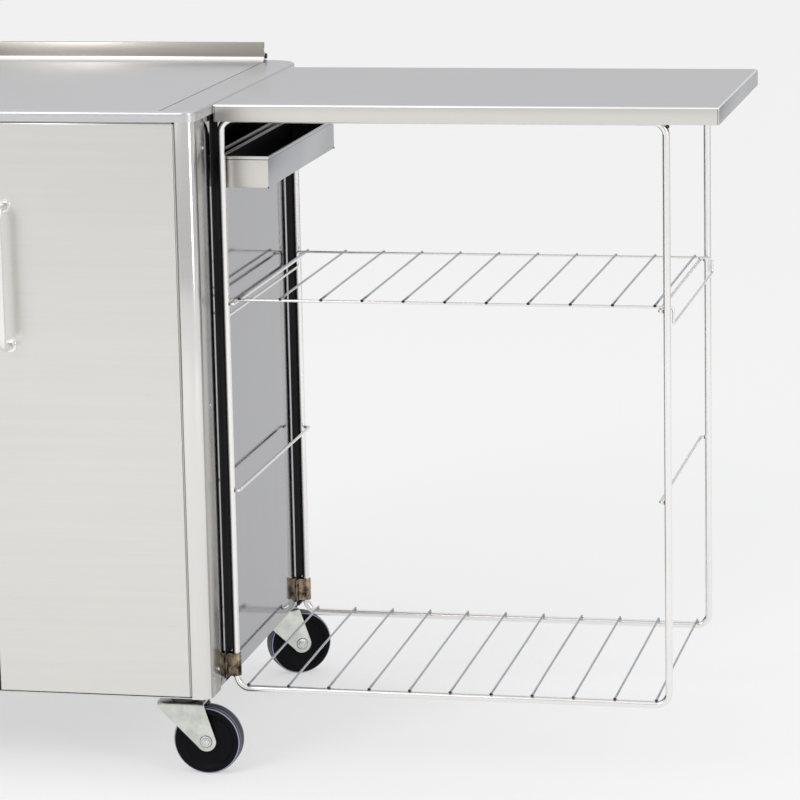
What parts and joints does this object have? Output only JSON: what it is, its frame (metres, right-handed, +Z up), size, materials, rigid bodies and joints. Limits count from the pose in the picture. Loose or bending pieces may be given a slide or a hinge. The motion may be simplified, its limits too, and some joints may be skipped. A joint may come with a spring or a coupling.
{
  "type": "rolling cabinet cart",
  "caption": "Steel cabinet cart on swivel casters with hinged lid and doors, and a rod-framed side table with a lift-out wire shelf and hanging tray.",
  "frame": {"origin": "centre of the object's footprint box, on the floor", "axes": "+X from the cabinet towards the side table, +Y towards the back, +Z up"},
  "size_m": [1.2788, 0.6347, 0.9455],
  "materials": {
    "brushed_sheet": "fine horizontal brushing, bright folded edges",
    "polished_steel": "near-mirror bright rolled finish",
    "chromed_rod": "bright chromed rod",
    "zinc_plate": "zinc-plated pressed steel",
    "wheel_black": "black moulded rubber tread"
  },
  "bodies": {
    "cart": {"back_panel": "polished_steel", "base_pan": "brushed_sheet", "bottom_wire_01": "chromed_rod", "bottom_wire_02": "chromed_rod", "bottom_wire_03": "chromed_rod", "bottom_wire_04": "chromed_rod", "bottom_wire_05": "chromed_rod", "bottom_wire_06": "chromed_rod", "bottom_wire_07": "chromed_rod", "bottom_wire_08": "chromed_rod", "bottom_wire_09": "chromed_rod", "bottom_wire_10": "chromed_rod", "bottom_wire_11": "chromed_rod", "caster_fl_plate": "zinc_plate", "caster_fr_plate": "zinc_plate", "caster_rl_plate": "zinc_plate", "caster_rr_plate": "zinc_plate", "corner_column_left": "brushed_sheet", "corner_column_right": "brushed_sheet", "door_hinge_rod_left": "zinc_plate", "door_hinge_rod_right": "zinc_plate", "frame_loop_back": "chromed_rod", "frame_loop_front": "chromed_rod", "hinge_ear_left": "zinc_plate", "hinge_ear_right": "zinc_plate", "hinge_pin_left": "zinc_plate", "hinge_pin_right": "zinc_plate", "post_clip_back": "zinc_plate", "post_clip_front": "zinc_plate", "shelf_bar_lower_left": "chromed_rod", "shelf_bar_lower_right": "chromed_rod", "shelf_bar_upper_left": "chromed_rod", "shelf_bar_upper_right": "chromed_rod", "side_panel_left": "polished_steel", "side_panel_right": "polished_steel", "table_top": "brushed_sheet", "top_frame": "brushed_sheet", "tray_rail": "brushed_sheet", "well_pan": "brushed_sheet"},
    "lid": {"lid": "brushed_sheet"},
    "door_right": {"door_right": "brushed_sheet", "door_handle_right": "chromed_rod"},
    "door_left": {"door_left": "brushed_sheet", "door_handle_left": "chromed_rod"},
    "mid_shelf": {"mid_shelf": "chromed_rod"},
    "tray": {"tray": "brushed_sheet"},
    "caster_fr_swivel": {"caster_fr_fork": "zinc_plate", "caster_fr_axle": "zinc_plate"},
    "caster_fr_wheel": {"caster_fr_wheel": "wheel_black"},
    "caster_rr_swivel": {"caster_rr_fork": "zinc_plate", "caster_rr_axle": "zinc_plate"},
    "caster_rr_wheel": {"caster_rr_wheel": "wheel_black"},
    "caster_fl_swivel": {"caster_fl_fork": "zinc_plate", "caster_fl_axle": "zinc_plate"},
    "caster_fl_wheel": {"caster_fl_wheel": "wheel_black"},
    "caster_rl_swivel": {"caster_rl_fork": "zinc_plate", "caster_rl_axle": "zinc_plate"},
    "caster_rl_wheel": {"caster_rl_wheel": "wheel_black"}
  },
  "joints": [
    {"name": "lid_hinge", "type": "hinge", "parent": "cart", "child": "lid", "pos_m": [-0.3394, 0.3065, 0.9245], "axis": [-1, 0, 0], "range_deg": [0, 95]},
    {"name": "door_right_hinge", "type": "hinge", "parent": "cart", "child": "door_right", "pos_m": [-0.0902, -0.2715, 0.12], "axis": [0, 0, 1], "range_deg": [0, 110]},
    {"name": "door_left_hinge", "type": "hinge", "parent": "cart", "child": "door_left", "pos_m": [-0.5886, -0.2715, 0.12], "axis": [0, 0, -1], "range_deg": [0, 110]},
    {"name": "mid_shelf_lift", "type": "slide", "parent": "cart", "child": "mid_shelf", "axis": [0, 0, 1], "range_m": [0, 0.05]},
    {"name": "tray_lift", "type": "slide", "parent": "cart", "child": "tray", "axis": [0, 0, 1], "range_m": [0, 0.03]},
    {"name": "caster_fr_swivel", "type": "hinge", "parent": "cart", "child": "caster_fr_swivel", "pos_m": [-0.0914, -0.2245, 0.094], "axis": [0, 0, 1], "continuous": true},
    {"name": "caster_fr_roll", "type": "hinge", "parent": "caster_fr_swivel", "child": "caster_fr_wheel", "pos_m": [-0.0604, -0.2245, 0.047], "axis": [0, 1, 0], "continuous": true},
    {"name": "caster_rr_swivel", "type": "hinge", "parent": "cart", "child": "caster_rr_swivel", "pos_m": [-0.0824, 0.2675, 0.094], "axis": [0, 0, 1], "continuous": true},
    {"name": "caster_rr_roll", "type": "hinge", "parent": "caster_rr_swivel", "child": "caster_rr_wheel", "pos_m": [-0.05583, 0.28347, 0.047], "axis": [-0.515, 0.8572, 0], "continuous": true},
    {"name": "caster_fl_swivel", "type": "hinge", "parent": "cart", "child": "caster_fl_swivel", "pos_m": [-0.5874, -0.2245, 0.094], "axis": [0, 0, 1], "continuous": true},
    {"name": "caster_fl_roll", "type": "hinge", "parent": "caster_fl_swivel", "child": "caster_fl_wheel", "pos_m": [-0.5567, -0.22019, 0.047], "axis": [-0.1392, 0.9903, 0], "continuous": true},
    {"name": "caster_rl_swivel", "type": "hinge", "parent": "cart", "child": "caster_rl_swivel", "pos_m": [-0.5964, 0.2675, 0.094], "axis": [0, 0, 1], "continuous": true},
    {"name": "caster_rl_roll", "type": "hinge", "parent": "caster_rl_swivel", "child": "caster_rl_wheel", "pos_m": [-0.56727, 0.2781, 0.047], "axis": [-0.342, 0.9397, 0], "continuous": true}
  ]
}
